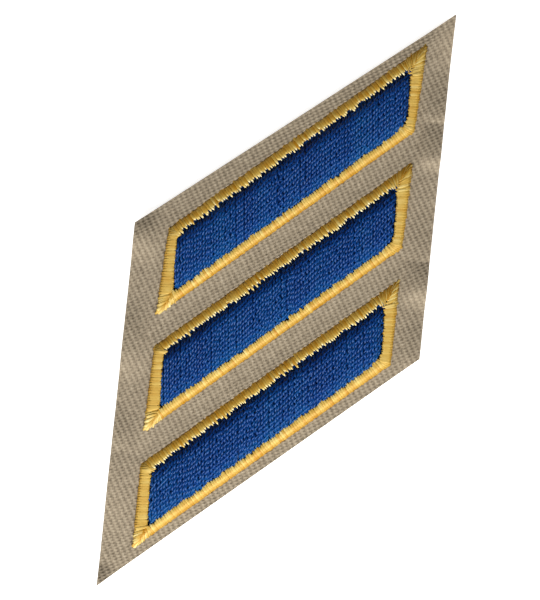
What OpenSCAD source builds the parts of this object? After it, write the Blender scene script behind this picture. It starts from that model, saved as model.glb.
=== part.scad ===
// Service stripe: an embroidered patch that is sewn to a sleeve, lying face up.
// A slanted panel of twill cloth carries three raised diagonal bars. Each bar is a domed field
// of fill stitching inside a rounded satin border. All sizes are in millimetres.
// +Y runs along the side edges, and +Z points out of the face. The origin is the middle of the
// patch's box, at the height of its flat back. Single threads are finer than this model.

/* [Cloth] */
// Width of the cloth between its side edges
cloth_w = 41.6; // [41:0.1:44]
// Length of its left side edge
left_len = 51.1; // [50.8:0.1:54]
// Length of its right side edge
right_len = 48.4; // [48:0.1:50]
// Slant of its top edge, in degrees
top_slant = 38.9; // [38.5:0.1:40]
// Thickness of the cloth
cloth_t = 1.0; // [0.8:0.1:1.5]

/* [Bars] */
// Length of each bar, along its slant
bar_l = 44.6; // [40:0.1:45]
// Width of each bar, across its slant
bar_w = 9.15; // [8.8:0.05:9.6]
// Slant of the bars, in degrees
bar_slant = 41.5; // [41:0.1:42]
// Distance between neighbouring bars, along the side edges
bar_pitch = 16.5; // [15.5:0.1:16.6]

/* [Border] */
// Width of the satin border along a bar's upper edge
upper_border_w = 1.55; // [1.3:0.05:1.7]
// Width of the satin border along a bar's lower edge
lower_border_w = 1.17; // [1:0.01:1.4]
// Width of the satin border across a bar's ends
end_border_w = 1.6; // [1.3:0.05:1.8]
// Height of the border's crest above the cloth
border_h = 0.66; // [0.5:0.02:0.9]

/* [Fill] */
// Height of the middle of the fill above the cloth
fill_h = 1.35; // [0.8:0.05:1.6]

/* [Puckers] */
// Height of the tallest wave in the cloth's bare margins
pucker_h = 1.2; // [0.2:0.1:1.4]

/* [Hidden] */

CLOTH_TAN = [0.63, 0.57, 0.48];
THREAD_BLUE = [0.1, 0.24, 0.52];
THREAD_GOLD = [0.88, 0.68, 0.27];

// Clear space between a sewn piece and what it lies on or beside
gap = 0.05;
stitch_z = cloth_t + gap;

// The cloth's outline, from the lengths of its sides and the slant of its top edge
half_w = cloth_w / 2;
top_rise = cloth_w * tan(top_slant);
half_h = (left_len + top_rise) / 2;
CLOTH_OUTLINE = [[-half_w, -half_h], [half_w, half_h - right_len],
                 [half_w, half_h], [-half_w, left_len - half_h]];

// Where each bar lies. Columns: steps of the pitch up from the middle bar, sideways shift, lean
// of the bar's ends away from the side edges in degrees
BARS = [[1, 0.35, 2.7],
        [0, 0.2, 1.4],
        [-1, 0.2, 0]];
middle_bar_y = 0.5;
// Lean of the fill's ends, the same on every bar
fill_lean = -1.8;

// Rounding of a bar's corners, anticlockwise from its lower left one.
// Columns: radius at the border's outside, at its inside
CORNER_R = [[0.2, 0.2], [0.9, 3], [0.2, 0.4], [0.9, 0.5]];
smallest_r = 0.15;
corner_steps = 8;
loop_n = len(CORNER_R) * (corner_steps + 1);

// Outer flank of the border along a bar's upper edge, its lower edge and its ends.
// Columns: depth inside the bar's outline as a share of the border's width, share of its height
UPPER_FLANK = [[0, 0], [0.1, 0.21], [0.19, 0.375], [0.39, 0.667], [0.58, 0.86], [0.77, 0.965],
               [0.9, 1]];
LOWER_FLANK = [[0, 0], [0.1, 0.25], [0.19, 0.43], [0.39, 0.72], [0.58, 0.9], [0.77, 0.98],
               [0.9, 1]];
END_FLANK = [[0, 0], [0.1, 0.68], [0.19, 0.84], [0.39, 0.94], [0.58, 0.98], [0.77, 0.995],
             [0.9, 1]];
// Fall of the border beside the fill. Columns: share of the way across, share of its height
INNER_FALL = [[0.88, 1], [0.97, 0.97], [1, 0.72]];
// Shares of the way across the border at which the rings of its crown lie
RING_SHARES = [0.1, 0.19, 0.39, 0.58, 0.77, 0.88, 0.97, 1];

// The fill's dome. Each drop is a share of its full height, lost at that edge of the bar. The
// shoulder at the long edges is dome_w wide, and at the ends end_dome_w. Its rings lie at these
// distances from the rim, and it is nowhere lower than fill_min
upper_drop = 0.95;
lower_drop = 0.63;
end_drop = 0.81;
dome_w = 2.3;
end_dome_w = 1.5;
fill_min = 0.08;
FILL_INSETS = [0, 0.2, 0.5, 0.9, 1.5, dome_w];

// Waves in the bare margins, each highest at the side edge.
// Columns: side edge (-1 left, 1 right), place of its crest along Y, share of the tallest wave,
// how far it runs down from its crest, how far up
PUCKERS = [[1, -6.1, 0.58, 3, 6.5],
           [1, 3.8, 1, 3.2, 6],
           [1, 8.6, 0.38, 4, 6.5],
           [1, 22.3, 0.88, 2.4, 7],
           [1, 28.2, 0.46, 2.4, 5.4],
           [-1, 7, 0.96, 4.4, 4],
           [-1, -9, 0.75, 5, 8.2],
           [-1, -21.8, 0.46, 6, 5.4],
           [-1, -27.5, 0.67, 9, 9]];
// The two pointed tips curl up.
// Columns: side edge, share of the tallest wave, distance from the point
CURLED_TIPS = [[1, 1.5, 8.8],
               [-1, 0.92, 4]];
// How far the waves reach in from a side edge: as far as the nearest end of a bar
function margin_reach(side) = half_w - max([for (bar = BARS, sy = [-1, 1])
    side * bar_corner(bar, 0, 0, side, sy).x]);
left_reach = margin_reach(-1);
right_reach = margin_reach(1);

// Grid of the waved sheet. It is sheared along the slant, and cut to the outline afterwards
sheet_over = 1;
sheet_slant = bar_slant - 1.4;
margin_cols = 6;
middle_cols = 4;
sheet_rows = 76;
row_reach = (left_len + top_rise - cloth_w * tan(sheet_slant)) / 2 + 2 * sheet_over;
cut_h = cloth_t + 2 * pucker_h;

// A smooth bump that is 1 in its middle and 0 from its foot outward
function bump(r) = r < 1 ? cos(90 * r) * cos(90 * r) : 0;

// Share of a wave's height that is left at a point: 1 at the side edge, falling by the square
// of the way in, to 0 where the waves end
function margin_share(p, side) =
    let (way_in = (half_w - side * p.x) / (side > 0 ? right_reach : left_reach))
    1 - pow(min(1, max(0, way_in)), 2);

// How far the cloth is lifted off the surface, at a point of its plan
function pucker_lift(p) = max([for (w = PUCKERS)
    w[2] * margin_share(p, w[0]) * bump(abs(p.y - w[1]) / (p.y < w[1] ? w[3] : w[4]))]);
function tip_lift(p) = max([for (t = CURLED_TIPS)
    t[1] * margin_share(p, t[0]) * bump(norm(p - t[0] * [half_w, half_h]) / t[2])]);
function lift(p) = pucker_h * max(pucker_lift(p), tip_lift(p));

// Stations across the cloth: close together in the margins, wide apart under the bars
function margin_steps(reach) = [for (i = [0 : margin_cols])
    (reach + sheet_over) * i / margin_cols - sheet_over];
function sheet_xs() = concat(
    [for (step = margin_steps(left_reach)) step - half_w],
    [for (i = [1 : middle_cols - 1]) let (share = i / middle_cols)
        (left_reach - half_w) * (1 - share) + (half_w - right_reach) * share],
    [for (i = [margin_cols : -1 : 0]) half_w - margin_steps(right_reach)[i]]);
function sheet_ys() = [for (j = [0 : sheet_rows]) row_reach * (2 * j / sheet_rows - 1)];

// Corner of a bar's outline. The signs sx and sy pick the corner, share is how far across the
// border the outline lies, and more is how far inside the border
function along() = [cos(bar_slant), sin(bar_slant)];
function end_lean(bar, share) = bar[2] + (fill_lean - bar[2]) * share;
function end_way(bar, share) = [sin(end_lean(bar, share)), cos(end_lean(bar, share))];
function bar_centre(bar) = [bar[1], middle_bar_y + bar_pitch * bar[0]];
function bar_corner(bar, share, more, sx, sy) =
    let (run_border_w = sy > 0 ? upper_border_w : lower_border_w,
         skew = cos(bar_slant + end_lean(bar, share)))
    bar_centre(bar)
    + sx * (bar_l / 2 - (end_border_w * share + more) / skew) * along()
    + sy * (bar_w / 2 - run_border_w * share - more) / skew * end_way(bar, share);

// Points of a corner's arc, between the ways in and out of the corner
function arc_points(corner, way_in, way_out, r) =
    let (turn = acos(way_in * way_out),
         start = corner - way_in * r * tan(turn / 2),
         middle = start + r * [-way_in.y, way_in.x],
         first = atan2(way_in.y, way_in.x) - 90)
    [for (i = [0 : corner_steps]) let (a = first + turn * i / corner_steps)
        middle + r * [cos(a), sin(a)]];

// A bar's rounded outline, anticlockwise from above
function corner_r(i, share, more) =
    max(smallest_r, CORNER_R[i][0] + (CORNER_R[i][1] - CORNER_R[i][0]) * share - more);
function bar_loop(bar, share, more) =
    let (a = along(), e = end_way(bar, share))
    concat(arc_points(bar_corner(bar, share, more, -1, -1), -e, a, corner_r(0, share, more)),
           arc_points(bar_corner(bar, share, more, 1, -1), a, e, corner_r(1, share, more)),
           arc_points(bar_corner(bar, share, more, 1, 1), e, -a, corner_r(2, share, more)),
           arc_points(bar_corner(bar, share, more, -1, 1), -a, -e, corner_r(3, share, more)));
function raised(loop, z) = [for (p = loop) [p.x, p.y, z]];

// Triangles of the band between two loops, whose first points are numbers a and b
function band(a, b) = [for (i = [0 : loop_n - 1]) let (k = (i + 1) % loop_n)
    each [[a + i, b + i, b + k], [a + i, b + k, a + k]]];

// Depths of a point inside a bar's upper edge, lower edge and nearer end, on the outline that
// lies a share of the way across the border
function side_depths(bar, share, p) =
    let (away = p - bar_centre(bar),
         e = end_way(bar, share),
         up = away.y * along().x - away.x * along().y,
         across = abs(away.x * e.y - away.y * e.x))
    [bar_w / 2 - upper_border_w * share - up,
     bar_w / 2 - lower_border_w * share + up,
     bar_l / 2 * cos(bar_slant + end_lean(bar, share)) - end_border_w * share - across];

// Height of the border above the cloth: the lowest of its outer flanks, less its inner fall
function border_rise(bar, share, p) =
    let (d = side_depths(bar, 0, p))
    border_h * lookup(share, INNER_FALL) * min(
        lookup(d[0] / upper_border_w, UPPER_FLANK),
        lookup(d[1] / lower_border_w, LOWER_FLANK),
        lookup(d[2] / end_border_w, END_FLANK));

// Height of the fill above the cloth: its full height, less a drop at each edge by a power of
// what is left of the shoulder there
function shoulder(depth, width) = max(0, 1 - (depth - gap) / width);
function fill_rise(bar, p) =
    let (d = side_depths(bar, 1, p),
         loss = upper_drop * pow(shoulder(d[0], dome_w), 3)
              + lower_drop * pow(shoulder(d[1], dome_w), 2)
              + end_drop * pow(shoulder(d[2], end_dome_w), 3))
    max(fill_min, fill_h * (1 - loss));

// A rounded ridge round the bar
module satin_border(bar) {
    rings = len(RING_SHARES) + 2;
    crown = [for (share = RING_SHARES, p = bar_loop(bar, share, 0))
        [p.x, p.y, stitch_z + border_rise(bar, share, p)]];
    points = concat(raised(bar_loop(bar, 0, 0), stitch_z), crown,
                    raised(bar_loop(bar, 1, 0), stitch_z));
    faces = [for (k = [0 : rings - 1]) each band(k * loop_n, (k + 1) % rings * loop_n)];
    polyhedron(points, faces, convexity = 4);
}

// A domed field inside the border, clear of it by the gap
module domed_fill(bar) {
    rings = len(FILL_INSETS);
    crown = [for (inset = FILL_INSETS, p = bar_loop(bar, 1, gap + inset))
        [p.x, p.y, stitch_z + fill_rise(bar, p)]];
    points = concat(raised(bar_loop(bar, 1, gap), stitch_z), crown);
    faces = concat([[for (i = [0 : loop_n - 1]) i]],
        [for (k = [0 : rings - 1]) each band(k * loop_n, (k + 1) * loop_n)],
        [[for (i = [loop_n - 1 : -1 : 0]) rings * loop_n + i]]);
    polyhedron(points, faces, convexity = 4);
}

// The cloth's sheet with its waves, larger than the patch all round
module waved_sheet() {
    xs = sheet_xs();
    ys = sheet_ys();
    nx = len(xs);
    ny = len(ys);
    top = nx * ny;
    plan = [for (y = ys, x = xs) [x, y + x * tan(sheet_slant)]];
    points = concat([for (p = plan) [p.x, p.y, lift(p)]],
                    [for (p = plan) [p.x, p.y, lift(p) + cloth_t]]);
    cells = [for (j = [0 : ny - 2], i = [0 : nx - 2]) j * nx + i];
    rim = concat([for (i = [0 : nx - 2]) i],
                 [for (j = [0 : ny - 2]) j * nx + nx - 1],
                 [for (i = [nx - 1 : -1 : 1]) (ny - 1) * nx + i],
                 [for (j = [ny - 1 : -1 : 1]) j * nx]);
    under_faces = [for (c = cells) each [[c, c + 1, c + nx + 1], [c, c + nx + 1, c + nx]]];
    top_faces = [for (c = cells) let (t = c + top)
        each [[t, t + nx + 1, t + 1], [t, t + nx, t + nx + 1]]];
    side_faces = [for (k = [0 : len(rim) - 1]) let (a = rim[k], b = rim[(k + 1) % len(rim)])
        each [[a, a + top, b + top], [a, b + top, b]]];
    polyhedron(points, concat(under_faces, top_faces, side_faces), convexity = 6);
}

module ground_cloth() {
    color(CLOTH_TAN) intersection() {
        waved_sheet();
        translate([0, 0, -cloth_t]) linear_extrude(cloth_t + cut_h) polygon(CLOTH_OUTLINE);
    }
}

module upper_fill() {
    color(THREAD_BLUE) domed_fill(BARS[0]);
}

module middle_fill() {
    color(THREAD_BLUE) domed_fill(BARS[1]);
}

module lower_fill() {
    color(THREAD_BLUE) domed_fill(BARS[2]);
}

module upper_border() {
    color(THREAD_GOLD) satin_border(BARS[0]);
}

module middle_border() {
    color(THREAD_GOLD) satin_border(BARS[1]);
}

module lower_border() {
    color(THREAD_GOLD) satin_border(BARS[2]);
}

ground_cloth();
upper_fill();
middle_fill();
lower_fill();
upper_border();
middle_border();
lower_border();
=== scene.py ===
# %% [markdown]
# # A service stripe patch, stitch by stitch
#
# A service stripe is worn on the sleeve of a uniform. This one is a slanted panel of tan twill
# with three raised bars sewn on it by machine. Each bar is a field of blue twisted thread inside
# a border of gold satin stitches. This lesson builds it from its threads up: the woven cloth
# first, then the borders, then the fields, then the finishes.
#
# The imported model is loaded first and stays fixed. Every new piece is made round it, in metres,
# in the same frame: +Y runs along the cloth's side edges and +Z points out of the face.

import bpy
import numpy as np
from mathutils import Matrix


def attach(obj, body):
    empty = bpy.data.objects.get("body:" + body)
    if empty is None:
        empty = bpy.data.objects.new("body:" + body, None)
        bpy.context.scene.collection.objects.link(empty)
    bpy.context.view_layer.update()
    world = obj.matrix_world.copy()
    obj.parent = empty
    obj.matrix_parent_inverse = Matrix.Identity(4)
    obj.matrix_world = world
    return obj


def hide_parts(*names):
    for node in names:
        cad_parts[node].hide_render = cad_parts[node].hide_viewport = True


scene = bpy.context.scene
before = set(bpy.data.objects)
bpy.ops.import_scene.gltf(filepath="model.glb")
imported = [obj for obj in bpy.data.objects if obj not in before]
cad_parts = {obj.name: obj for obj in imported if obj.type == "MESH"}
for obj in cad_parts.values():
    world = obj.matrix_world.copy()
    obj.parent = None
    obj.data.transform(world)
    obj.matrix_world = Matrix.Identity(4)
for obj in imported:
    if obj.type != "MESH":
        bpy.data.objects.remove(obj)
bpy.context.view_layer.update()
print("nodes in the packed model:", len(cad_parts))

# %% [markdown]
# ## The patch's own sizes
#
# All design sizes are in millimetres and are the same as the solids' sizes, so that the thread
# lies on the solids. Lengths are turned to metres only when a mesh is made.

# %% Sizes of the cloth and the bars
MM = 0.001

cloth_w = 41.6
left_len = 51.1
right_len = 48.4
top_slant = 38.9
cloth_t = 1.0

bar_l = 44.6
bar_w = 9.15
bar_slant = np.radians(41.5)
bar_pitch = 16.5
middle_bar_y = 0.5
fill_lean = -1.8
bars = {
    "upper": {"step": 1, "shift": 0.35, "lean": 2.7},
    "middle": {"step": 0, "shift": 0.2, "lean": 1.4},
    "lower": {"step": -1, "shift": 0.2, "lean": 0.0},
}

upper_border_w = 1.55
lower_border_w = 1.17
end_border_w = 1.6
border_h = 0.66
gap = 0.05
stitch_z = cloth_t + gap

half_w = cloth_w / 2
half_h = (left_len + cloth_w * np.tan(np.radians(top_slant))) / 2

# %% [markdown]
# ## The camera
#
# The patch lies flat and is seen from straight above, turned a little to the right. A long lens
# keeps its edges straight, as a flatbed scan does. The picture is 540 by 600, and 0.14 mm of
# cloth falls on one pixel.

# %% The camera
picture_turn = np.radians(6.02)
picture_h = 84.0
aim_x, aim_y = -0.87, -0.04
lens = 200.0
sensor = 36.0

camera = bpy.data.objects.new("camera", bpy.data.cameras.new("camera"))
camera.data.lens = lens
camera.data.sensor_width = sensor
camera.data.clip_start = 0.01
camera.data.clip_end = 20.0
camera_up = cloth_t + picture_h * lens / sensor
camera.location = (aim_x * MM, aim_y * MM, camera_up * MM)
camera.rotation_euler = (0.0, 0.0, picture_turn)
scene.collection.objects.link(camera)
scene.camera = camera
print("camera stands", round(camera_up), "mm above the cloth")

# %% [markdown]
# ## The light
#
# Thread shows its shape only in raking light. One long soft lamp stands below the picture,
# 40 degrees up, and runs along the picture's width. It lights the lower flank of each border
# and leaves the upper flank brown. A weak pale sky fills the shadows.

# %% The lamp
lamp_l = 0.7
lamp_w = 0.1
lamp_watts = 5.0
lamp_reach = 0.5
lamp_rise = np.radians(40)
lamp_turn = picture_turn - np.radians(4)

lamp = bpy.data.objects.new("lamp", bpy.data.lights.new("lamp", "AREA"))
lamp.data.shape = "RECTANGLE"
lamp.data.size = lamp_l
lamp.data.size_y = lamp_w
lamp.data.energy = lamp_watts
lamp.visible_camera = False
lamp.location = (
    lamp_reach * np.cos(lamp_rise) * np.sin(lamp_turn),
    -lamp_reach * np.cos(lamp_rise) * np.cos(lamp_turn),
    lamp_reach * np.sin(lamp_rise),
)
lamp.rotation_euler = (np.pi / 2 - lamp_rise, 0.0, lamp_turn)
scene.collection.objects.link(lamp)
scene.view_settings.view_transform = "Standard"
print("lamp of", lamp_watts, "watts")


# %% Helpers that make shader nodes and materials
def fill_socket(socket, value):
    """Give a node's input a value, or join it to the value if that is another node's output."""
    if isinstance(value, bpy.types.NodeSocket):
        socket.id_data.links.new(value, socket)
    else:
        socket.default_value = value


def set_inputs(node, **inputs):
    """Fill a node's inputs by name, with spaces written as underscores."""
    for name, value in inputs.items():
        fill_socket(node.inputs[name.replace("_", " ")], value)


def add_node(tree, kind, **inputs):
    """Add a node of a kind, and fill its inputs."""
    node = tree.nodes.new("ShaderNode" + kind)
    set_inputs(node, **inputs)
    return node


def new_material(name, **inputs):
    """A material, its node tree and its shader, with the shader's inputs filled."""
    material = bpy.data.materials.new(name)
    material.use_nodes = True
    shader = material.node_tree.nodes["Principled BSDF"]
    set_inputs(shader, **inputs)
    return material, material.node_tree, shader


# %% The sky: dim above, pale at the horizon
sky_above = 0.17
sky_rim = 0.8
rim_top = 0.12

world = bpy.data.worlds.new("studio")
scene.world = world
world.use_nodes = True
sky = world.node_tree
sky.nodes.clear()
way = add_node(sky, "TexCoord").outputs["Generated"]
up = add_node(sky, "SeparateXYZ", Vector=way).outputs["Z"]
fade = add_node(sky, "MapRange", Value=up, From_Max=rim_top, To_Min=sky_rim, To_Max=sky_above)
glow = add_node(sky, "Background", Strength=fade.outputs[0])
add_node(sky, "OutputWorld", Surface=glow.outputs[0])
print("sky nodes:", len(sky.nodes))

# %% [markdown]
# ## The table
#
# The patch lies on a plain white table. A little light of its own keeps the table white where
# the lamp is weak, so that only a faint shadow shows round the cloth.

# %% The table
table_half = 3.0

table_mesh = bpy.data.meshes.new("table")
table_ways = ((-1, -1), (1, -1), (1, 1), (-1, 1))
table_corners = [(x * table_half, y * table_half, 0.0) for x, y in table_ways]
table_mesh.from_pydata(table_corners, [], [(0, 1, 2, 3)])
table = bpy.data.objects.new("table", table_mesh)
scene.collection.objects.link(table)

white, _, white_shader = new_material("white_table", Roughness=0.9, Specular_IOR_Level=0.1)
set_inputs(white_shader, Base_Color=(0.9, 0.9, 0.9, 1.0))
set_inputs(white_shader, Emission_Color=(1.0, 1.0, 1.0, 1.0), Emission_Strength=0.8)
table_mesh.materials.append(white)
print("table side", 2 * table_half, "m")

# %% [markdown]
# ## Outlines of a bar
#
# Every thread of a bar is placed from two outlines: the outer one, where the gold stitches go
# into the cloth, and the inner one, where they meet the blue field. Both are four-sided shapes
# with rounded corners. They are worked out as the solids' outlines are, corner by corner.

# %% Ways along and up a bar
run_way = np.array([np.cos(bar_slant), np.sin(bar_slant)])
corner_radii = [(0.2, 0.2), (0.9, 3.0), (0.2, 0.4), (0.9, 0.5)]
arc_steps = 8


def end_lean(bar, share):
    """Lean of a bar's ends in radians, from the border's outside (0) to its inside (1)."""
    return np.radians(bar["lean"] + (fill_lean - bar["lean"]) * share)


def end_way(bar, share):
    """The way up a bar's end, as a unit vector."""
    lean = end_lean(bar, share)
    return np.array([np.sin(lean), np.cos(lean)])


def bar_centre(bar):
    """Middle of a bar in the plan."""
    return np.array([bar["shift"], middle_bar_y + bar_pitch * bar["step"]])


# %% A rounded outline
def bar_corner(bar, share, more, side, end):
    """A corner: from the centre, half the length along and half the width up, less a share of
    the borders and an inset of so much more."""
    edge_w = upper_border_w if end > 0 else lower_border_w
    skew = np.cos(bar_slant + end_lean(bar, share))
    along = bar_l / 2 - (end_border_w * share + more) / skew
    up = (bar_w / 2 - edge_w * share - more) / skew
    return bar_centre(bar) + side * along * run_way + end * up * end_way(bar, share)


def corner_arc(corner, way_in, way_out, radius):
    """Points on the circle of a radius that touches both sides of a corner."""
    turn = np.arccos(way_in @ way_out)
    start = corner - way_in * radius * np.tan(turn / 2)
    middle = start + radius * np.array([-way_in[1], way_in[0]])
    first = np.arctan2(way_in[1], way_in[0]) - np.pi / 2
    angle = first + turn * np.linspace(0, 1, arc_steps + 1)
    return middle + radius * np.stack([np.cos(angle), np.sin(angle)], axis=1)


def bar_outline(bar, share, more=0.0):
    """A bar's outline, a share of the way across its border and inset by so much more. It runs
    anticlockwise from the lower left corner."""
    up = end_way(bar, share)
    ways = [
        (-1, -1, -up, run_way),
        (1, -1, run_way, up),
        (1, 1, up, -run_way),
        (-1, 1, -run_way, -up),
    ]
    arcs = []
    for (side, end, way_in, way_out), (outside, inside) in zip(ways, corner_radii):
        radius = outside + (inside - outside) * share
        corner = bar_corner(bar, share, more, side, end)
        arcs.append(corner_arc(corner, way_in, way_out, radius))
    return np.concatenate(arcs)


print("points in an outline:", len(bar_outline(bars["middle"], 0)))


# %% Walking along an outline, and finding its nearest point
def lengths_along(loop):
    """Distance from the first point to each point of a closed loop, and round to the first."""
    steps = np.linalg.norm(np.roll(loop, -1, axis=0) - loop, axis=1)
    return np.concatenate([[0.0], np.cumsum(steps)])


def walk(loop, distance):
    """Points of a closed loop at distances along it."""
    at = lengths_along(loop)
    closed = np.concatenate([loop, loop[:1]])
    distance = distance % at[-1]
    return np.stack([np.interp(distance, at, closed[:, k]) for k in (0, 1)], axis=1)


def nearest_along(points, loop):
    """Distance along a closed loop of the point of it that is nearest to each given point."""
    a = loop[None]
    side = (np.roll(loop, -1, axis=0) - loop)[None]
    from_a = points[:, None] - a
    share = np.clip((from_a * side).sum(2) / (side**2).sum(2), 0, 1)
    away = np.linalg.norm(from_a - share[..., None] * side, axis=2)
    best = away.argmin(1)
    row = np.arange(len(points))
    at = lengths_along(loop)
    return at[best] + share[row, best] * np.diff(at)[best]


# %% How deep a point is inside a bar
upright = np.array([-run_way[1], run_way[0]])


def side_depths(bar, share, points):
    """Distances of points inside a bar's top edge, bottom edge and nearer end, on the outline
    that lies a share of the way across the border."""
    away = points - bar_centre(bar)
    up = away @ upright
    lean = end_way(bar, share)
    across = np.abs(away[..., 0] * lean[1] - away[..., 1] * lean[0])
    skew = np.cos(bar_slant + end_lean(bar, share))
    top = bar_w / 2 - upper_border_w * share - up
    bottom = bar_w / 2 - lower_border_w * share + up
    end = bar_l / 2 * skew - end_border_w * share - across
    return top, bottom, end


# %% Unit vectors
def unit(vectors):
    """Vectors along the last axis, each divided by its length."""
    return vectors / np.linalg.norm(vectors, axis=-1, keepdims=True)


# %% Soft random numbers
def soft_noise(dice, count, width):
    """Random numbers round a ring, each averaged with its neighbours by a bell-shaped weight,
    and scaled to a spread of 1."""
    place = np.arange(count)
    bell = np.exp(-0.5 * (np.minimum(place, count - place) / width) ** 2)
    soft = np.fft.irfft(np.fft.rfft(dice.normal(0, 1, count)) * np.fft.rfft(bell), count)
    return (soft - soft.mean()) / soft.std()


# %% [markdown]
# ## Gathering threads into one mesh
#
# A border has some three hundred stitches. Made as one object each, they would be slow to handle
# and hard to keep together. They are gathered here into one mesh instead. Each thread keeps a
# number of its own, its tone, which the finish reads to make it a little lighter or darker. The
# tones also carry painted light and shade.


# %% A bundle of threads
class Bundle:
    """Points, faces, tones and thread coordinates of one piece, before they become a mesh."""

    def __init__(self):
        self.points, self.tones, self.corners, self.sizes, self.places = [], [], [], [], []
        self.count = 0

    def add(self, points, tones, faces):
        """Add points, a tone for each, and arrays of faces. Each corner of a face has a place on
        the thread, round it and along it."""
        self.points.append(points)
        self.tones.append(tones)
        for corners, places in faces:
            self.corners.append((corners + self.count).ravel())
            self.sizes.append(np.full(len(corners), corners.shape[1]))
            self.places.append(places.reshape(-1, 2))
        self.count += len(points)


def mesh_from(name, points, corners, sizes):
    """A smooth mesh from points in millimetres, the faces' corners in one row, and how many
    corners each face has."""
    mesh = bpy.data.meshes.new(name)
    mesh.vertices.add(len(points))
    mesh.vertices.foreach_set("co", (points * MM).ravel())
    mesh.loops.add(len(corners))
    mesh.loops.foreach_set("vertex_index", corners)
    mesh.polygons.add(len(sizes))
    mesh.polygons.foreach_set("loop_start", np.concatenate([[0], np.cumsum(sizes)[:-1]]))
    mesh.polygons.foreach_set("use_smooth", np.ones(len(sizes), bool))
    mesh.update(calc_edges=True)
    mesh.validate()
    return mesh


def triangles(sizes):
    """How many triangles faces with these corner counts make."""
    return int((np.asarray(sizes) - 2).sum())


# %% A piece on the patch
def place_piece(name, mesh, material, node):
    """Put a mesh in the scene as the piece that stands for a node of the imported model."""
    piece = bpy.data.objects.new(name, mesh)
    scene.collection.objects.link(piece)
    mesh.materials.append(material)
    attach(piece, "root")
    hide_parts(node)
    return piece


def thread_piece(name, bundle, material, node):
    """Make a piece of a bundle, with its tones and thread coordinates on the mesh."""
    points = np.concatenate(bundle.points)
    sizes = np.concatenate(bundle.sizes)
    mesh = mesh_from(name, points, np.concatenate(bundle.corners), sizes)
    tones = mesh.attributes.new("tone", "FLOAT", "POINT")
    tones.data.foreach_set("value", np.concatenate(bundle.tones).astype(np.float32))
    places = mesh.uv_layers.new(name="thread")
    places.uv.foreach_set("vector", np.concatenate(bundle.places).astype(np.float32).ravel())
    print(name, "has", triangles(sizes), "triangles")
    place_piece(name, mesh, material, node)


# %% [markdown]
# ## One thread
#
# A thread is a tube: a small ring of points carried along a path. The ring has a sideways and an
# upward radius, so a thread can lie flat, and both may change on the way, so it can thin out
# where it goes into the cloth. All the threads of a kind are worked out together, as one array.


# %% Tubes along many paths
def add_tubes(bundle, paths, sideways, wide, thick, angles, tones, along):
    """Carry a ring along each path. A ring point is the path point, plus the sideways radius
    times the cosine of its angle sideways, plus the upward radius times its sine upwards. The
    radii, the tones and the lengths along are arrays of a row to a path and a column to a ring."""
    count, rings, _ = paths.shape
    sides = len(angles)
    ahead = unit(np.gradient(paths, axis=1))
    upward = unit(np.cross(ahead, sideways))
    across = (wide[..., None] * np.cos(angles))[..., None] * sideways[:, :, None]
    above = (thick[..., None] * np.sin(angles))[..., None] * upward[:, :, None]
    points = (paths[:, :, None] + across + above).reshape(-1, 3)

    ids = np.arange(count * rings * sides).reshape(count, rings, sides)
    here, there = ids[:, :-1], ids[:, 1:]
    quads = np.stack([here, np.roll(here, -1, 2), np.roll(there, -1, 2), there], axis=-1)
    turn = np.arange(sides) / sides
    low = np.broadcast_to(along[:, :-1, None], here.shape)
    high = np.broadcast_to(along[:, 1:, None], here.shape)
    left = np.broadcast_to(turn, here.shape)
    right = left + 1 / sides
    places = np.stack([left, low, right, low, right, high, left, high], axis=-1)
    caps = np.concatenate([ids[:, 0, ::-1], ids[:, -1]])
    cap_places = np.zeros((len(caps), sides, 2))
    point_tones = np.repeat(np.broadcast_to(tones, (count, rings)).ravel(), sides)
    faces = [(quads.reshape(-1, 4), places), (caps, cap_places)]
    bundle.add(points, point_tones, faces)


# %% Closed rings, for what lies under the threads
def add_rings(bundle, loops, tone, closed_up):
    """Join rings of equal point counts. If closed_up is true, the first and the last are closed
    with a face each, and otherwise the last joins the first."""
    rings, sides, _ = loops.shape
    ids = np.arange(rings * sides).reshape(rings, sides)
    here = ids[:-1] if closed_up else ids
    there = ids[1:] if closed_up else np.roll(ids, -1, axis=0)
    quads = np.stack([here, np.roll(here, -1, 1), np.roll(there, -1, 1), there], axis=-1)
    faces = [(quads.reshape(-1, 4), np.zeros((quads.size, 2)))]
    if closed_up:
        ends = np.stack([ids[0, ::-1], ids[-1]])
        faces.append((ends, np.zeros((ends.size, 2))))
    bundle.add(loops.reshape(-1, 3), np.full(rings * sides, tone), faces)


# %% [markdown]
# ## The satin borders
#
# A satin stitch goes down at the outside of the border, crosses it in one bold step, and goes
# down again beside the field. The next one lies against it. Here its outer end is called its
# foot, and its inner end its head.
#
# Each stitch starts at a point of the outer outline and aims for the nearest point of the inner
# one. Along a side that makes it stand square to the edge. At a corner many stitches aim for the
# same point, and their heads are crowded. These heads are moved out along the mitre, the line
# through the corner's inner and outer points, about half as far as would make the stitches
# square to their edge again. Then they are pushed a little past the mitre, where both sides
# interlock. Three of every four end short, because there is no room for all of them.

# %% Shape of a border
flank_depths = np.array([0, 0.1, 0.19, 0.39, 0.58, 0.77, 0.9])
flank_heights = {
    "top": np.array([0, 0.21, 0.375, 0.667, 0.86, 0.965, 1.0]),
    "bottom": np.array([0, 0.25, 0.43, 0.72, 0.9, 0.98, 1.0]),
    "end": np.array([0, 0.68, 0.84, 0.94, 0.98, 0.995, 1.0]),
}
inner_shares = np.array([0.88, 0.97, 1.0, 1.06])
inner_heights = np.array([1.0, 0.97, 0.72, 0.3])


def border_rise(bar, points, shares):
    """Height of the satin at points a share of the way across the border. Each outer flank
    rises with the depth inside its own edge, the lowest of them holds, and the border falls
    again near its inside."""
    rise = border_h
    widths = (upper_border_w, lower_border_w, end_border_w)
    for depth, width, heights in zip(side_depths(bar, 0, points), widths, flank_heights.values()):
        rise = np.minimum(rise, border_h * np.interp(depth / width, flank_depths, heights))
    return rise * np.interp(shares, inner_shares, inner_heights)


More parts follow.
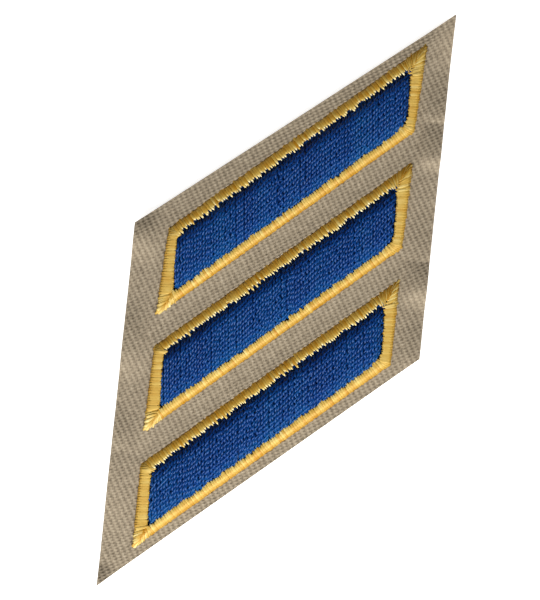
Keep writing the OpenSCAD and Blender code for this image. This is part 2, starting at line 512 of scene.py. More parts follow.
# %% Sizes of a satin stitch
stitch_pitch = 0.36
stitch_half_w = 0.235
stitch_half_t = 0.044
stitch_angles = np.radians([-35, 12, 55, 90, 125, 168, 215])
ring_shares = np.array([0.0, 0.05, 0.13, 0.25, 0.42, 0.6, 0.77, 0.9, 0.985, 1.045])
foot_level = -0.1
least_rise = 0.04
held_up = 0.1
uneven_rise = 0.003
uneven_crowd = 0.03

# %% Where stitches start and end
foot_astray = 0.02
head_astray = 0.025
downhill_astray = 0.04
end_slide = 0.3
edge_step = 0.1
mitre = 0.55
past_mitre = 0.5
short_cycle = np.array([0.0, 0.24, 0.08, 0.32])
short_spread = (0.7, 1.2)


def narrow(share):
    """A share's sixth power, which is still 1 at 1 but drops off fast below it."""
    return np.clip(share, 0, 1) ** 6


def aim_stitches(bar, dice):
    """The feet and heads of a border's stitches, and how crowded each head is: 0 on a straight
    side, and 1 where all the stitches near it aim for one point. At the bar's ends the heads
    slide a little way along the inner outline, which makes the stitches there slant."""
    outer = bar_outline(bar, 0)
    inner = bar_outline(bar, 1)
    around = lengths_along(outer)[-1]
    count = int(round(around / stitch_pitch))
    at = (np.arange(count) + dice.normal(0, foot_astray, count)) * around / count
    foot = walk(outer, at)
    inner_at = nearest_along(foot, inner)
    nearest = walk(inner, inner_at)
    inner_step = np.abs((np.roll(inner_at, -1) - np.roll(inner_at, 1)) / 2)
    crowd = np.clip(1 - inner_step / (around / count), 0, 1)

    to_inside = unit(nearest - foot)
    spread = head_astray + downhill_astray * np.clip(-to_inside @ upright, 0, 1)
    astray = dice.normal(0, 1, count) * spread
    slide = end_slide * narrow(np.abs(to_inside[:, 0]))
    head = walk(inner, inner_at + astray * (1 - crowd) - slide)

    edge = walk(outer, at + edge_step) - walk(outer, at - edge_step)
    mitre_way = run_way + end_way(bar, 0)
    till_square = ((foot - nearest) * edge).sum(1) / (edge @ mitre_way)
    head = head + (mitre * crowd * till_square)[:, None] * mitre_way
    short = crowd * short_cycle[np.arange(count) % len(short_cycle)]
    head = head + (foot - head) * (short * dice.uniform(*short_spread, count))[:, None]
    return foot, head, crowd


# %% How far stitches reach past their ends
uphill_over = 0.34
right_over = 0.19
left_over = -0.02
downhill_over = 0.17
over_limits = (-0.4, 0.6)
over_spread, downhill_spread, uphill_spread = 0.04, 0.1, 0.08
end_gain = 1.05
foot_room = 0.05
rough_foot_room = 0.1
tip_spread = (0.1, 0.35)
left_out = 0.12
crowd_out = 0.15


def stretch_stitches(foot, head, crowd, dice):
    """Move heads and feet along their stitches, by chance and by which way a stitch runs: up or
    down the bar, or to the right or left at its ends. Running down, every second head reaches
    further. Crowded feet move out, most of all in the fan of the lower left tip. Also gives the
    ways of the stitches, how far each is at an end of the bar, and how far in that fan."""
    count = len(foot)
    way = unit(head - foot)
    downhill = narrow(-way @ upright)
    uphill = narrow(way @ upright)
    longer = np.where(np.arange(count) % 2, 0.5, -0.5)
    rightward = narrow(end_gain * way[:, 0])
    leftward = narrow(-end_gain * way[:, 0])
    over = uphill_over * uphill + right_over * rightward + left_over * leftward
    over = over + downhill_over * longer * downhill + past_mitre * crowd
    spread = over_spread + downhill_spread * downhill + uphill_spread * uphill
    over = over + dice.normal(0, 1, count) * spread

    room = foot_room + rough_foot_room * np.maximum(downhill, crowd)
    tip = crowd * np.clip(2 * way[:, 1], 0, 1) * np.clip(3 * way[:, 0] + 2, 0, 1)
    foot_in = dice.uniform(-1, 2, count) * room
    tip_out = np.clip(1.2 - 2 * way[:, 0], 0, 1) * dice.uniform(*tip_spread, count)
    foot_in = foot_in - tip * tip_out
    foot_in = foot_in - left_out * leftward - crowd_out * (crowd - tip)
    foot = foot + way * foot_in[:, None]
    head = head + way * np.clip(over, *over_limits)[:, None]
    return foot, head, way, rightward + leftward, tip


# %% Paths of the stitches of a border
def satin_paths(bar, dice):
    """The middle line of each stitch, its way across the border, its length, how far each ring
    is on the flank of the upper edge, which is shaded, how far it is at an end of the bar, how
    crowded its head is, and how far it is in the fan of the lower left tip. Crowded heads are
    held up, so that they close the corner over the field."""
    foot, head, crowd = aim_stitches(bar, dice)
    foot, head, way, at_end, tip = stretch_stitches(foot, head, crowd, dice)
    length = np.linalg.norm(head - foot, axis=1)
    plan = foot[:, None] + ring_shares[:, None] * (length[:, None] * way)[:, None]
    uneven = 1 + dice.normal(0, 1, len(foot)) * (uneven_rise + uneven_crowd * crowd)
    rise = border_rise(bar, plan, ring_shares - held_up * crowd[:, None]) * uneven[:, None]
    rise = np.maximum(rise, least_rise)
    rise[:, 0] = foot_level
    paths = np.concatenate([plan, (stitch_z + rise - stitch_half_t)[..., None]], axis=2)
    top, bottom, end = side_depths(bar, 0, plan)
    shaded = np.clip(1 + (end - 0.9 * top) / 0.3, 0, 1) * (top < bottom)
    return paths, way, length, shaded, at_end, crowd, tip


# %% Width of a stitch, ring by ring
blunt_waist = np.array([0.6, 0.8, 1, 1.1, 1.12, 1.08, 0.88, 0.55, 0.3, 0.12])
pointed_waist = np.array([0.6, 0.85, 1, 1, 1, 0.95, 0.7, 0.42, 0.25, 0.12])
end_waist = np.array([0.75, 0.95, 1.15, 1.28, 1.28, 1.28, 1.25, 1.1, 0.75, 0.35])
crowd_waist = 0.55


def stitch_radii(shaded, at_end, crowd, tip, dice):
    """Sideways and upward radii of every ring. A stitch is pointed at its head, and more so on
    the shaded flank. It is broad at the bar's ends and blunt where its head is crowded."""
    plump = dice.normal(1, 0.03, len(crowd))[:, None] * (1 - 0.3 * crowd)
    waist = blunt_waist + (pointed_waist - blunt_waist) * shaded
    waist = waist + (end_waist - waist) * at_end
    waist = np.maximum(waist, crowd_waist * crowd)
    wide = stitch_half_w * waist * plump * (1 - 0.2 * (crowd - tip))
    thick = stitch_half_t * (1 - 0.35 * at_end) * np.sqrt(waist) * plump
    return wide, thick


# %% Tones of a stitch, ring by ring, with painted light and shade
ring_noise = np.array([0.7, 0.7, 0.7, 0.7, 0.8, 0.95, 1.1, 1.3, 1.3, 1.3])
# Painted shade at the stitches' feet and painted highlights on their heads, ring by ring.
ring_light_and_shade = np.array([-0.65, -0.55, -0.42, -0.25, -0.15, -0.05, 0.15, 0.55, 0.9, 1.1])
# Painted light and shade on the shaded upper flank: lighter at the feet and heads, darker in the
# middle.
flank_light_and_shade = np.array([-0.3, -0.25, -0.15, 0.15, 0.25, 0.15, -0.05, -0.35, -0.3, -0.1])
# Painted shade on the stitches at the bar's ends, deepest at their feet.
end_painted_shade = np.array([-0.36, -0.33, -0.27, -0.18, -0.1, -0.06, -0.06, -0.06, -0.06, -0.06])
# Painted light and shade in the lower left fan: lighter at the feet, darker towards the heads
# where both sides meet.
tip_light_and_shade = np.array([0.8, 0.75, 0.7, 0.55, 0.35, 0, -0.25, -0.45, -0.45, -0.45])
middle_tone = 0.5
own_tone = 0.2
crowd_contrast = 0.25
# Painted light near the bar's left and right ends.
painted_left_light = 0.4
painted_right_light = 0.3


def stitch_tones(shaded, at_end, crowd, tip, start, dice):
    """Tone of every ring: one of the stitch's own, set off against its neighbour's, and bands of
    painted light and shade along the border: painted shade at the feet, painted highlights on the
    heads, and painted light and shade on the shaded upper flank. Others paint shade on the bar's
    ends, and light and shade in the lower left tip. A stitch starts at a share of the bar's
    length.
    Painted light makes the shaded flank lighter in the first seventh of it, and crowded stitches
    lighter in its last third."""
    own = dice.normal(0, own_tone, len(crowd))
    own = (own - 0.3 * np.roll(own, 1))[:, None] * ring_noise
    every_second = np.where(np.arange(len(crowd)) % 2, crowd_contrast, -crowd_contrast)
    own = (own + every_second[:, None] * crowd) * (1 - 0.5 * at_end)
    # Painted light and shade along the border, capped where heads are crowded.
    light_and_shade_bands = np.minimum(ring_light_and_shade - shaded * flank_light_and_shade, 1.3 - 1.5 * crowd)
    tones = middle_tone + own + light_and_shade_bands * (1 - at_end) + end_painted_shade * at_end + tip * tip_light_and_shade
    # Painted light on the shaded flank near the bar's left end.
    tones = tones + painted_left_light * shaded * np.clip(1 - 7 * start, 0, 1)[:, None]
    # Painted light on the crowded stitches near the bar's right end.
    painted_fan_light = (crowd - tip) * np.clip(3 * start - 2, 0, 1)[:, None] * (1 - 0.8 * shaded)
    return tones + painted_right_light * painted_fan_light


# %% Lay the stitches of a border
ridge_shares = np.array([0.06, 0.1, 0.19, 0.3, 0.42, 0.54, 0.66, 0.76, 0.8, 0.8])
ridge_depth = 0.05
ridge_foot = -0.13
# Painted shade: the padding ridge, seen in the gaps between stitches, takes the darkest gold.
ridge_shade_tone = 0.1


def sew_border(name, seed, material):
    """Stitches of one border and the padding ridge under them, as a piece."""
    bar = bars[name]
    dice = np.random.default_rng(seed)
    paths, way, length, shaded, at_end, crowd, tip = satin_paths(bar, dice)
    at_end, crowd, tip = at_end[:, None], crowd[:, None], tip[:, None]
    start = (paths[:, 0, :2] - bar_centre(bar)) @ run_way / bar_l + 0.5
    wide, thick = stitch_radii(shaded, at_end, crowd, tip, dice)
    tones = stitch_tones(shaded, at_end, crowd, tip, start, dice)
    flat_side = np.stack([-way[:, 1], way[:, 0], np.zeros(len(way))], axis=1)
    sideways = np.broadcast_to(flat_side[:, None], paths.shape)
    along = ring_shares * length[:, None]
    bundle = Bundle()
    add_tubes(bundle, paths, sideways, wide, thick, stitch_angles, tones, along)

    loops = []
    for number, share in enumerate(ridge_shares):
        plan = bar_outline(bar, share)
        height = border_rise(bar, plan, share) - ridge_depth
        if number in (0, len(ridge_shares) - 1):
            height = np.full(len(plan), ridge_foot)
        loops.append(np.concatenate([plan, stitch_z + height[:, None]], axis=1))
    add_rings(bundle, np.array(loops), ridge_shade_tone, False)
    thread_piece(name + "_satin", bundle, material, name + "_border")


# %% [markdown]
# ## The blue fields
#
# The field is laid with heavy two-ply thread, upright in the picture. Two plies twist round each
# other, so each thread shows a row of short slanted glints. The plies are tubes round one path:
# a ply's middle circles the path, half a turn behind the other ply. The path follows the field's
# dome and dips under the border at both ends.

# %% Shape of the field
fill_h = 1.35
top_drop = 1.28
bottom_drop = 0.85
end_drop = 1.1
dome_w = 2.3
end_dome_w = 1.5
fill_min = 0.08
ply_pitch = 0.39
ply_radius = 0.168
ply_swing = 0.11
ply_turn = 1.36
rim_inset = 0.05
shortest = 0.8
fill_tuck = 0.3
fill_rings = 76
thread_way = np.array([-np.sin(picture_turn), np.cos(picture_turn)])
thread_across = np.array([np.cos(picture_turn), np.sin(picture_turn)])
ply_angles = np.radians([0, 60, 120, 180, 240, 300])


def dome(bar, points):
    """Height of the field over the cloth: its full height, less a drop at the bottom edge by
    the square of what is left of its shoulder, and less a drop at the top edge and one at the
    ends by the cube. The second result is how far outside the rim a point is, or 0."""
    top, bottom, end = [depth - gap for depth in side_depths(bar, 1, points)]
    height = fill_h - top_drop * np.clip(1 - top / dome_w, 0, 1) ** 3
    height = height - bottom_drop * np.clip(1 - bottom / dome_w, 0, 1) ** 2
    height = height - end_drop * np.clip(1 - end / end_dome_w, 0, 1) ** 3
    outside = -np.minimum(np.minimum(top, bottom), np.minimum(end, 0))
    return np.maximum(height, fill_min), outside


# %% Where each thread of a field starts and ends
def cross_field(starts, loop):
    """Distances along the thread's way at which lines enter and leave a convex loop."""
    side = np.roll(loop, -1, axis=0) - loop
    inward = np.stack([-side[:, 1], side[:, 0]], axis=1)
    depth = ((starts[:, None] - loop[None]) * inward).sum(2)
    speed = (inward @ thread_way)[None]
    meet = -depth / speed
    enter = np.where(speed > 0, meet, -np.inf).max(1)
    leave = np.where(speed < 0, meet, np.inf).min(1)
    return enter, leave


# %% Uneven threads
def wander(dice, far, spread, length):
    """A slow wander along each thread: the sum of three sines, shorter than, near and longer
    than the given length, each of random strength, start and stretch."""
    total = np.zeros(far.shape)
    for stretch in (0.6, 1.0, 1.7):
        strength = dice.normal(0, spread, (len(far), 1)) / np.sqrt(1.5)
        own = length * stretch * dice.uniform(0.8, 1.2, (len(far), 1))
        start = dice.uniform(0, 2 * np.pi, (len(far), 1))
        total += strength * np.sin(2 * np.pi * far / own + start)
    return total


# %% How uneven the threads of a field are, as spreads and lengths
side_wander = (0.05, 1.9)
level_wander = (0.02, 2.0)
twist_wander = (0.14, 2.2)
tone_wander = (0.09, 1.4)
first_spot, last_spot = 0.2, 0.1
spot_astray = 0.07
level_astray = 0.015
outside_drop = 0.6
phase_steps = (0.5, 0.27)
# Painted shade near the field's top edge and painted light near its bottom edge.
painted_top_shade, painted_top_shade_w = 0.55, 1.6
painted_bottom_light, painted_bottom_light_w = 0.5, 1.8
# Painted light and shade on the plies: lighter where a ply lies higher in the twist, darker lower.
painted_ply_light = 0.1
pad_insets = np.array([-0.35, -0.35, 0.0, 0.2, 0.5, 0.9, 1.5, 2.3])
pad_depth = 0.42
pad_least = 0.03
pad_foot = -0.12
pad_tone = 0.4


# %% Lay the threads of a field
def sew_field(name, seed, material):
    """Twisted threads of one field, and the padding under them, as a piece."""
    bar = bars[name]
    dice = np.random.default_rng(seed)
    rim = bar_outline(bar, 1, rim_inset)
    centre = bar_centre(bar)
    reach = (rim - centre) @ thread_across
    spots = np.arange(reach.min() + first_spot, reach.max() - last_spot, ply_pitch)
    spots = spots + dice.uniform(-spot_astray, spot_astray, len(spots))
    starts = centre + spots[:, None] * thread_across
    enter, leave = cross_field(starts, rim)
    kept = leave - enter > shortest
    starts, enter, leave = starts[kept], enter[kept], leave[kept]
    count = len(starts)

    share = np.linspace(0, 1, fill_rings)
    far = (enter - fill_tuck)[:, None] + (leave - enter + 2 * fill_tuck)[:, None] * share
    waver = wander(dice, far, *side_wander)
    plan = starts[:, None] + far[..., None] * thread_way + waver[..., None] * thread_across
    height, outside = dome(bar, plan)
    level = stitch_z + height - ply_radius - ply_swing - outside_drop * outside
    level = level + dice.normal(0, level_astray, (count, 1)) + wander(dice, far, *level_wander)

    phase = np.cumsum(dice.normal(*phase_steps, count)) * np.pi
    turns = far / (ply_turn * dice.normal(1, 0.02, (count, 1)))
    twist = 2 * np.pi * turns + phase[:, None] + wander(dice, far, *twist_wander)
    tones = middle_tone + 0.1 * soft_noise(dice, count, 2) + dice.normal(0, 0.05, count)
    top, bottom, _ = side_depths(bar, 1, plan)
    tones = tones[:, None] + wander(dice, far, *tone_wander)
    # Painted shade near the top edge, painted light near the bottom edge.
    tones = tones - painted_top_shade * np.clip(1 - top / painted_top_shade_w, 0, 1)
    tones = tones + painted_bottom_light * np.clip(1 - bottom / painted_bottom_light_w, 0, 1)
    bundle = Bundle()
    side3 = -np.append(thread_across, 0.0)
    sideways = np.broadcast_to(side3, (count, fill_rings, 3))
    size = np.full((count, fill_rings), ply_radius)
    for half_turn in (0.0, np.pi):
        swing = ply_swing * np.cos(twist + half_turn)
        lift = ply_swing * np.sin(twist + half_turn)
        flat = plan + swing[..., None] * side3[:2]
        paths = np.concatenate([flat, (level + lift)[..., None]], axis=2)
        # Painted light and shade by the ply's height.
        lit_ply_tones = tones + painted_ply_light * np.sin(twist + half_turn)
        add_tubes(bundle, paths, sideways, size, size, ply_angles, lit_ply_tones, far)

    loops = []
    for number, inset in enumerate(pad_insets):
        plan = bar_outline(bar, 1, inset)
        height = np.maximum(dome(bar, plan)[0] - pad_depth, pad_least)
        if number == 0:
            height = np.full(len(plan), pad_foot)
        loops.append(np.concatenate([plan, stitch_z + height[:, None]], axis=1))
    add_rings(bundle, np.array(loops), pad_tone, True)
    thread_piece(name + "_field", bundle, material, name + "_fill")


# %% [markdown]
# ## The twill
#
# Twill is woven so that each weft yarn passes over three warp yarns and under one, and each row
# starts one warp yarn further on than the row below it. The floats lie side by side like bricks,
# and the dips between them line up in slanting furrows. The cloth's face is a height field over
# a grid that is fine enough for four rows of points to each weft yarn.
#
# Under the bars nobody sees the weave, so those parts of the grid get large cells. The face, the
# cut edge and the back are one closed sheet.

# %% Waves in the bare margins, and the swell beside the bars
puckers = [
    (1, -6.1, 0.7, 3.0, 6.5),
    (1, 3.8, 1.2, 3.2, 6.0),
    (1, 8.6, 0.45, 4.0, 6.5),
    (1, 22.3, 1.05, 2.4, 7.0),
    (1, 28.2, 0.55, 2.4, 5.4),
    (-1, 7.0, 1.15, 4.4, 4.6),
    (-1, -9.0, 0.9, 5.0, 8.2),
    (-1, -21.8, 0.55, 6.0, 5.4),
    (-1, -27.5, 0.8, 9.0, 9.0),
]
curled_tips = [(1, 1.8, 8.8), (-1, 1.1, 4.0)]
swell_h = 0.18
swell_reach = 1.2


def bump(r):
    """A smooth bump: the squared cosine of a quarter turn times r, and 0 past r = 1."""
    return np.cos(np.pi / 2 * np.clip(r, 0, 1)) ** 2


def margin_share(x, side):
    """A share that is 1 at a side edge and falls, by the square of the way in, to 0 at the
    nearest end of a bar."""
    ends = [side * bar_corner(bar, 0, 0, side, end)[0] for bar in bars.values() for end in (-1, 1)]
    return 1 - np.clip((half_w - side * x) / (half_w - max(ends)), 0, 1) ** 2


def cloth_lift(x, y):
    """How far the cloth is off the table: the highest of its waves and curled tips. A wave has
    a side, a middle, a height, and a reach below and above its middle. A curled tip has a side,
    a height and a reach. Both are highest at the side edge and fall as a bump along it."""
    lifts = []
    for side, middle, height, below, above in puckers:
        half = np.where(y < middle, below, above)
        lifts.append(height * margin_share(x, side) * bump(np.abs(y - middle) / half))
    for side, height, reach in curled_tips:
        away = np.hypot(x - side * half_w, y - side * half_h) / reach
        lifts.append(height * margin_share(x, side) * bump(away))
    return np.max(lifts, axis=0)


def bar_swell(x, y):
    """The cloth's rise beside the bars. It is highest at a bar's outline, and decays with the
    distance from it, three times as fast on the inside, where the bar hides it."""
    points = np.stack([x, y], axis=-1)
    inside = np.max([np.min(side_depths(bar, 0, points), axis=0) for bar in bars.values()], axis=0)
    return swell_h * np.exp(-np.where(inside > 0, 3 * inside, -inside) / swell_reach)


# %% The weave's height
warp_pitch = 0.2178
weft_pitch = 0.38
weft_tilt = np.tan(np.radians(2.0))
yarns_round = 4
arch_h = 0.09
dip_h = 0.19
dip_reach = 1.4
knot_h = -0.11
knot_drop = 0.16


def weave_height(x, y):
    """Height of the weave. A weft yarn arches across its own width. It lies level over three
    warp yarns, then dips under the fourth, one warp yarn further left in each row upwards. In
    the dip the crossing warp yarn shows as a small knot."""
    row = (y - weft_tilt * x) / weft_pitch
    number = np.round(row)
    arch = arch_h * (np.cos(2 * np.pi * row) - 1) / 2
    place = (x / warp_pitch + number) % yarns_round
    from_dip = np.minimum(place, yarns_round - place)
    rise = np.sin(np.pi / 2 * np.clip(from_dip / dip_reach, 0, 1)) ** 1.5
    weft = arch - dip_h * (1 - rise)
    knot = knot_h - knot_drop * np.clip(from_dip, 0, 1) ** 2
    knot = knot - 0.5 * arch_h * (2 * (row - number)) ** 2
    return np.maximum(weft, knot)


float_l = (yarns_round - 1) * warp_pitch
print("a float is", round(float_l, 2), "mm long and", weft_pitch, "mm wide")

# %% The grid: rows that follow the bars
row_step = 0.095
column_step = 0.138
bar_cover = 0.35
bars_upwards = ("lower", "middle", "upper")


def row_guides(x):
    """Heights in the plan of the cloth's two slanted edges and of the bars' long edges."""
    share = (x + half_w) / cloth_w
    low_edge = -half_h + share * (2 * half_h - right_len)
    high_edge = low_edge + left_len + share * (right_len - left_len)
    guides = [low_edge]
    for name in bars_upwards:
        centre = bar_centre(bars[name])
        middle = centre[1] + (x - centre[0]) * np.tan(bar_slant)
        half = (bar_w / 2 - bar_cover) / np.cos(bar_slant)
        guides += [middle - half, middle + half]
    return np.array(guides + [high_edge])


def sheet_grid():
    """Plan of the cloth as a grid of points, and the first row of each band between guides."""
    x = np.linspace(-half_w, half_w, int(np.ceil(cloth_w / column_step)) + 1)
    guides = row_guides(x)
    rows, first = [], [0]
    for low, high in zip(guides[:-1], guides[1:]):
        count = int(np.ceil((high - low).max() / row_step))
        rows.append(low + (high - low) * (np.arange(count) / count)[:, None])
        first.append(first[-1] + count)
    y = np.concatenate(rows + [guides[-1:]])
    return np.broadcast_to(x, y.shape), y, first


# %% Large cells for what nobody sees
def large_cells(ids, step):
    """Cover a block of the grid with cells a step wide. Cells at its rim keep every rim point."""
    rows = np.unique(np.append(np.arange(0, ids.shape[0] - 1, step), ids.shape[0] - 1))
    cols = np.unique(np.append(np.arange(0, ids.shape[1] - 1, step), ids.shape[1] - 1))
    cells = []
    for a, b in zip(rows[:-1], rows[1:]):
        for c, d in zip(cols[:-1], cols[1:]):
            low = ids[a, c:d] if a == 0 else ids[a, c : c + 1]
            right = ids[a:b, d] if d == cols[-1] else ids[a : a + 1, d]
            high = ids[b, d:c:-1] if b == rows[-1] else ids[b, d : d + 1]
            left = ids[b:a:-1, c] if c == 0 else ids[b : b + 1, c]
            cells.append(np.concatenate([low, right, high, left]))
    return cells


def rim_of(ids):
    """The outermost points of a grid, anticlockwise."""
    return np.concatenate([ids[0, :-1], ids[:-1, -1], ids[-1, :0:-1], ids[:0:-1, 0]])


# %% Weave the cloth
face_up = 0.03
worn_reach = 0.2
worn_share = 0.5
worn_drop = 0.02
hidden_step = 8
lean_room = 0.95
edge_shares = (0.93, 0.5, 0.07)


def weave_cloth(face_finish, back_finish):
    """The whole sheet: fine face, large cells under the bars, cut edge and back. The weave is
    worn flatter and a little lower near the cut edge."""
    x, y, first = sheet_grid()
    lift = cloth_lift(x, y)
    from_edge = np.minimum(half_w - np.abs(x), np.minimum(y - y[0], y[-1] - y))
    worn = np.clip(1 - from_edge / worn_reach, 0, 1)
    weave = weave_height(x, y) * (1 - worn_share * worn) - worn_drop * worn**2
    top = cloth_t + face_up + lift + bar_swell(x, y)
    face = np.stack([x, y, top + weave], axis=2)
    back = np.stack([x, y, lift], axis=2)

    rows, cols = x.shape
    ids = np.arange(rows * cols).reshape(rows, cols)
    fine = np.ones((rows - 1, cols - 1), bool)
    cells = []
    for number, name in enumerate(bars_upwards):
        band = 2 * number + 1
        ends = bar_outline(bars[name], 0)[:, 0]
        inside = (x[0] > ends.min() + lean_room) & (x[0] < ends.max() - lean_room)
        left, right = np.flatnonzero(inside)[[0, -1]]
        fine[first[band] : first[band + 1], left:right] = False
        block = ids[first[band] : first[band + 1] + 1, left : right + 1]
        cells += large_cells(block, hidden_step)
    quads = np.stack([ids[:-1, :-1], ids[:-1, 1:], ids[1:, 1:], ids[1:, :-1]], axis=-1)[fine]

    back_ids = ids + rows * cols
    back_cells = [cell[::-1] for cell in large_cells(back_ids, hidden_step)]
    rim = rim_of(ids)
    low_rim = rim_of(back_ids)
    high, low = face.reshape(-1, 3), back.reshape(-1, 3)
    edge_points = [low[rim] * (1 - share) + high[rim] * share for share in edge_shares]
    start = 2 * rows * cols
    count = len(rim)
    edge_ids = [start + k * count + np.arange(count) for k in range(len(edge_shares))]
    rings = [rim] + edge_ids + [low_rim]
    walls = [
        np.stack([below, np.roll(below, -1), np.roll(above, -1), above], axis=1)
        for above, below in zip(rings[:-1], rings[1:])
    ]
    walls = np.concatenate(walls)

    points = np.concatenate([high, low] + edge_points)
    corners = np.concatenate([quads.ravel()] + cells + [walls.ravel()] + back_cells)
    cell_sizes = [len(cell) for cell in cells]
    back_sizes = [len(cell) for cell in back_cells]
    parts = [np.full(len(quads), 4), cell_sizes, np.full(len(walls), 4), back_sizes]
    sizes = np.concatenate(parts)
    used, corners = np.unique(corners, return_inverse=True)
    mesh = mesh_from("twill_cloth", points[used], corners.ravel(), sizes)
    heights = mesh.attributes.new("height", "FLOAT", "POINT")
    level = np.concatenate([weave.ravel(), np.zeros(len(points) - weave.size)])
    heights.data.foreach_set("value", level[used].astype(np.float32))
    print("twill_cloth has", triangles(sizes), "triangles")

    piece = place_piece("twill_cloth", mesh, face_finish, "ground_cloth")
    mesh.materials.append(back_finish)
    plain = np.zeros(len(sizes), np.int32)
    plain[len(quads) + len(cells) :] = 1
    mesh.polygons.foreach_set("material_index", plain)
    return piece


# %% [markdown]
# ## The finishes
#
# The gold and blue threads are rayon. It is smooth and its fibres run along the thread, so its
# gloss spreads round the thread and not along it. The cloth is a dull blend. Its colour follows
# the weave's height: a little paler on the crowns of its yarns, as wear, and darker in the
# furrows, as painted shade with some dust.


# %% Small steps that both finishes use
def add_math(tree, kind, first, second):
    """Join two outputs, or an output and a number, by a sum, a product or the like."""
    node = add_node(tree, "Math")
    node.operation = kind
    fill_socket(node.inputs[0], first)
    fill_socket(node.inputs[1], second)
    return node.outputs[0]


def add_shades(tree, level, low, high, colours):
    """Colours spaced evenly over a level's range, from low to high, and blended between."""
    span = add_node(tree, "MapRange", Value=level, From_Min=low, From_Max=high)
    ramp = add_node(tree, "ValToRGB", Fac=span.outputs[0])
    stops = ramp.color_ramp.elements
    while len(stops) < len(colours):
        stops.new(0.5)
    for number, colour in enumerate(colours):
        stops[number].position = number / (len(colours) - 1)
        stops[number].color = (*colour, 1.0)
    return ramp.outputs[0]


# %% A finish for thread
shade_start = 0.1
shade_step = 0.65
fibre_depth = 0.01 * MM


def thread_finish(name, colours, own_gloss, roughness, ior, tint):
    """Rayon: each thread's tone picks its shade, and fine fibres run round it in a slow twist.
    A share of its gloss has the thread's own colour, which the metallic number stands for."""
    material, tree, shader = new_material(name, Roughness=roughness, IOR=ior, Metallic=own_gloss)
    set_inputs(shader, Specular_IOR_Level=0.6, Specular_Tint=(*tint, 1.0), Anisotropic=0.6)

    tone = add_node(tree, "Attribute")
    tone.attribute_name = "tone"
    place = add_node(tree, "TexCoord").outputs["Object"]
    blotch = add_node(tree, "TexNoise", Vector=place, Scale=900.0, Detail=3.0, Roughness=0.6)
    uneven = add_math(tree, "MULTIPLY", blotch.outputs[0], 0.5)
    level = add_math(tree, "ADD", uneven, tone.outputs["Fac"])
    shade_end = shade_start + shade_step * (len(colours) - 1)
    shade = add_shades(tree, level, shade_start, shade_end, colours)

    thread_place = add_node(tree, "UVMap")
    thread_place.uv_map = "thread"
    stretch = add_node(tree, "Mapping", Scale=(3.0, 1.2, 1.0), Rotation=(0.0, 0.0, 0.5))
    set_inputs(stretch, Vector=thread_place.outputs[0])
    fibres = add_node(tree, "TexWave", Scale=1.0, Distortion=1.5, Detail=2.0)
    set_inputs(fibres, Vector=stretch.outputs[0])
    relief = add_node(tree, "Bump", Strength=0.5, Distance=fibre_depth)
    set_inputs(relief, Height=fibres.outputs["Fac"])
    round_way = add_node(tree, "Tangent")
    round_way.direction_type = "UV_MAP"
    round_way.uv_map = "thread"
    set_inputs(shader, Base_Color=shade, Normal=relief.outputs[0], Tangent=round_way.outputs[0])
    return material


# The darkest and palest stops of both ramps carry painted shade and painted highlights, as well as
# the threads' own spread of tone.
gold_shades = [(0.47, 0.21, 0.005), (0.59, 0.38, 0.07), (0.75, 0.59, 0.21), (0.87, 0.78, 0.5)]
blue_shades = [(0, 0.016, 0.12), (0.001, 0.039, 0.195), (0.001, 0.064, 0.225), (0.003, 0.1, 0.275)]
gold = thread_finish("gold_rayon", gold_shades, 0.12, 0.48, 1.48, (1.0, 0.96, 0.8))
blue = thread_finish("blue_rayon", blue_shades, 0.0, 0.46, 1.36, (0.7, 0.88, 1.0))
print("thread finishes:", gold.name, blue.name)


# %% A finish for the cloth
cloth_shades = [(0.142, 0.11, 0.071), (0.35, 0.285, 0.198), (0.56, 0.474, 0.35)]
cloth_fibre_depth = 0.02 * MM
back_rib_depth = 0.06 * MM
shade_range = (0.15, 2.05)
row_relief = 1.4
wave_unit = 2 * np.pi / 20


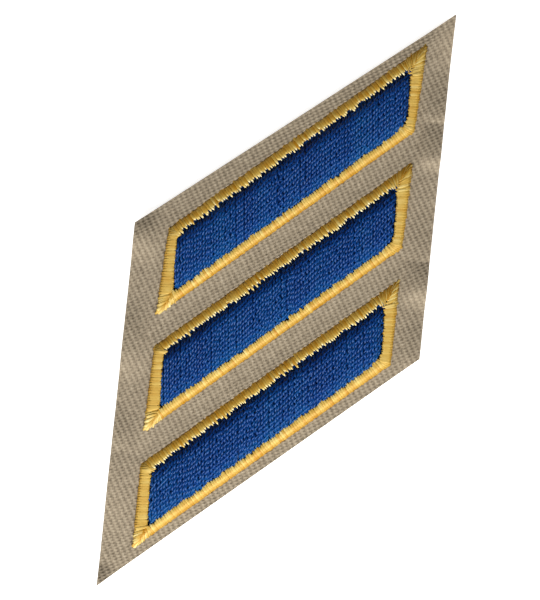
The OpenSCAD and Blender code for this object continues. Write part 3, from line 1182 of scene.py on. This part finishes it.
def cloth_finish(name, woven_back):
    """Tan blend: streaks as long as the yarns' floats both ways, paler crowns and darker furrows
    (painted shade with some wear and dust), fine rows across the warp, one to each weft, and
    fibres as a shallow relief."""
    material, tree, shader = new_material(name, Roughness=0.85, Specular_IOR_Level=0.25)
    set_inputs(shader, Sheen_Weight=0.1, Sheen_Roughness=0.5)
    place = add_node(tree, "TexCoord").outputs["Object"]

    def scaled(scale, turn=0.0):
        """Object coordinates in metres, times a scale each way and turned about Z."""
        step = add_node(tree, "Mapping", Vector=place, Scale=scale, Rotation=(0.0, 0.0, turn))
        return step.outputs[0]

    def streaks(*scale):
        """Noise at a scale each way. The way of the least scale gets the longest streaks."""
        noise = add_node(tree, "TexNoise", Scale=1.0, Detail=2.0, Roughness=0.6)
        set_inputs(noise, Vector=scaled(scale))
        return noise.outputs[0]

    both_ways = add_math(tree, "ADD", streaks(4600, 1300, 500), streaks(1100, 2600, 500))
    patches = add_math(tree, "MULTIPLY", streaks(120, 120, 120), 0.1)
    uneven = add_math(tree, "ADD", both_ways, patches)
    height = add_node(tree, "Attribute")
    height.attribute_name = "height"
    # Colour by the weave's height: painted shade with some dust darkens the furrows, and the
    # crowns are a little paler.
    furrow_shade_and_crown_wear = add_node(tree, "MapRange", From_Min=-0.22, From_Max=0.0, To_Min=-0.95, To_Max=0.35)
    set_inputs(furrow_shade_and_crown_wear, Value=height.outputs["Fac"])
    level = add_math(tree, "ADD", uneven, furrow_shade_and_crown_wear.outputs[0])
    shade = add_shades(tree, level, *shade_range, cloth_shades)

    fibres = streaks(14000, 3000, 3000)
    if woven_back:
        ribs = add_node(tree, "TexWave", Scale=1.0, Distortion=0.6, Detail=1.0)
        set_inputs(ribs, Vector=scaled((400, 400, 400), np.radians(30)))
        fibres = add_math(tree, "ADD", ribs.outputs["Fac"], fibres)
        depth = back_rib_depth
    else:
        per_metre = wave_unit / (weft_pitch * MM)
        rows = add_node(tree, "TexWave", Scale=1.0)
        rows.bands_direction = "Y"
        set_inputs(rows, Vector=scaled((per_metre, per_metre, per_metre), -np.arctan(weft_tilt)))
        deep_rows = add_math(tree, "MULTIPLY", rows.outputs["Fac"], row_relief)
        fibres = add_math(tree, "ADD", deep_rows, fibres)
        depth = cloth_fibre_depth
    relief = add_node(tree, "Bump", Height=fibres, Strength=0.5, Distance=depth)
    set_inputs(shader, Base_Color=shade, Normal=relief.outputs[0])
    return material


twill_face = cloth_finish("twill_face", False)
twill_back = cloth_finish("twill_back", True)
print("cloth finishes:", twill_face.name, twill_back.name)

# %% [markdown]
# ## Making the patch
#
# The cloth comes first, then the fields, then the borders that cover the fields' ends, in the
# order in which the real patch is sewn.

# %% Make every piece
field_seed = 30
border_seed = 10

cloth = weave_cloth(twill_face, twill_back)
for number, name in enumerate(bars):
    sew_field(name, field_seed + number, blue)
for number, name in enumerate(bars):
    sew_border(name, border_seed + number, gold)
